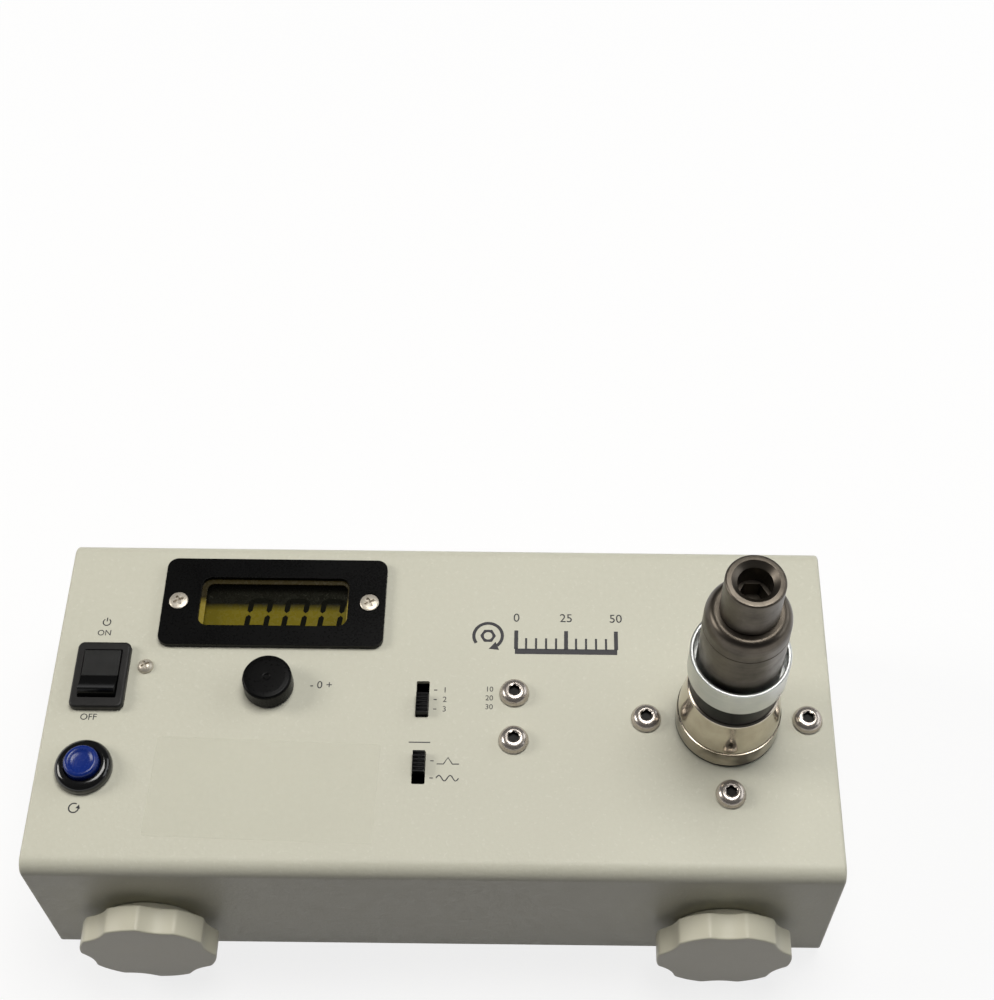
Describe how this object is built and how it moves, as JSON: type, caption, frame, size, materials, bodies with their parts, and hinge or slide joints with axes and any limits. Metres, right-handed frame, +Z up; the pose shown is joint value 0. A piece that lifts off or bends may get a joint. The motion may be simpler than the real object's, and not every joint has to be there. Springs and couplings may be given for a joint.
{
  "type": "digital torque meter",
  "caption": "Bench torque meter: steel case, display, power rocker, reset button, slide selectors, zero knob, clamp knobs and a hub with a joint adapter.",
  "frame": {"origin": "under the middle of the bounding box, on the plane that the feet stand on", "axes": "+Z up out of the panel, +X to the right along the case towards the hub, -Y to the front where the clamp knobs are"},
  "size_m": [0.215, 0.1124, 0.13],
  "materials": {
    "housing_paint": "fine orange-peel enamel",
    "knob_plastic": "satin",
    "black_plastic": "satin",
    "gloss_black": "gloss",
    "blue_plastic": "gloss",
    "foot_rubber": "matte",
    "screw_steel": "polished",
    "zinc_plate": "zinc plated",
    "cell_steel": "machined",
    "hub_chrome": "polished",
    "collar_satin": "satin",
    "adapter_oxide": "dark oxide",
    "window_acrylic": "clear",
    "lcd_glass": "gloss",
    "board_laminate": "satin",
    "battery_sleeve": "shrink film"
  },
  "bodies": {
    "housing": {"housing_shell": "housing_paint", "display_plate": "black_plastic", "power_switch_body": "black_plastic", "charging_jack": "black_plastic", "reset_bezel": "gloss_black", "foot_1": "foot_rubber", "foot_2": "foot_rubber", "foot_3": "foot_rubber", "foot_4": "foot_rubber", "cell_screw_1": "screw_steel", "cell_screw_2": "screw_steel", "cell_screw_3": "screw_steel", "cell_screw_4": "screw_steel", "foot_screw_1": "screw_steel", "foot_screw_2": "screw_steel", "foot_screw_3": "screw_steel", "foot_screw_4": "screw_steel", "base_screw_1": "screw_steel", "base_screw_2": "screw_steel", "base_screw_3": "screw_steel", "base_screw_4": "screw_steel", "bracket_screw_1": "screw_steel", "bracket_screw_2": "screw_steel", "panel_screw": "screw_steel", "panel_screw_nut": "screw_steel", "display_screw_left": "screw_steel", "display_screw_right": "screw_steel", "clamp_nut_left": "screw_steel", "clamp_nut_right": "screw_steel", "zero_pot_nut": "screw_steel", "base_plate": "zinc_plate", "selector_bracket": "zinc_plate", "unit_switch_body": "zinc_plate", "mode_switch_body": "zinc_plate", "zero_pot_body": "zinc_plate", "reset_nut": "zinc_plate", "charging_jack_nut": "zinc_plate", "torque_cell": "cell_steel", "hub": "hub_chrome", "hub_collar": "collar_satin", "adapter_body": "adapter_oxide", "display_window": "window_acrylic", "lcd_cell": "lcd_glass", "display_board": "board_laminate", "main_board": "board_laminate", "battery_pack": "battery_sleeve"},
    "power_rocker": {"power_rocker": "gloss_black"},
    "reset_cap": {"reset_cap": "blue_plastic"},
    "zero_knob": {"zero_knob": "black_plastic", "zero_pot_shaft": "screw_steel"},
    "unit_lever": {"unit_lever": "black_plastic"},
    "mode_lever": {"mode_lever": "black_plastic"},
    "clamp_left": {"clamp_knob_left": "knob_plastic", "clamp_stud_left": "screw_steel"},
    "clamp_right": {"clamp_knob_right": "knob_plastic", "clamp_stud_right": "screw_steel"},
    "spindle": {"adapter_spindle": "adapter_oxide"}
  },
  "joints": [
    {"name": "power_rocker_tilt", "type": "hinge", "parent": "housing", "child": "power_rocker", "pos_m": [-0.0938, 0.00965, 0.0567], "axis": [1, 0, 0], "range_deg": [0, 16]},
    {"name": "reset_press", "type": "slide", "parent": "housing", "child": "reset_cap", "axis": [0, 0, -1], "range_m": [0, 0.0025], "stiffness_N_per_m": 300, "springref_m": -0.0015},
    {"name": "zero_turn", "type": "hinge", "parent": "housing", "child": "zero_knob", "pos_m": [-0.0473, 0.00765, 0.056], "axis": [0, 0, 1], "range_deg": [-150, 150]},
    {"name": "unit_slide", "type": "slide", "parent": "housing", "child": "unit_lever", "axis": [0, 1, 0], "range_m": [0, 0.006]},
    {"name": "mode_slide", "type": "slide", "parent": "housing", "child": "mode_lever", "axis": [0, -1, 0], "range_m": [0, 0.004]},
    {"name": "clamp_left_turn", "type": "hinge", "parent": "housing", "child": "clamp_left", "pos_m": [-0.078, -0.04605, 0.022], "axis": [0, -1, 0], "continuous": true},
    {"name": "clamp_right_turn", "type": "hinge", "parent": "housing", "child": "clamp_right", "pos_m": [0.078, -0.04605, 0.022], "axis": [0, -1, 0], "continuous": true},
    {"name": "spindle_turn", "type": "hinge", "parent": "housing", "child": "spindle", "pos_m": [0.0783, -0.00095, 0.117], "axis": [0, 0, 1], "range_deg": [-540, 0]}
  ]
}
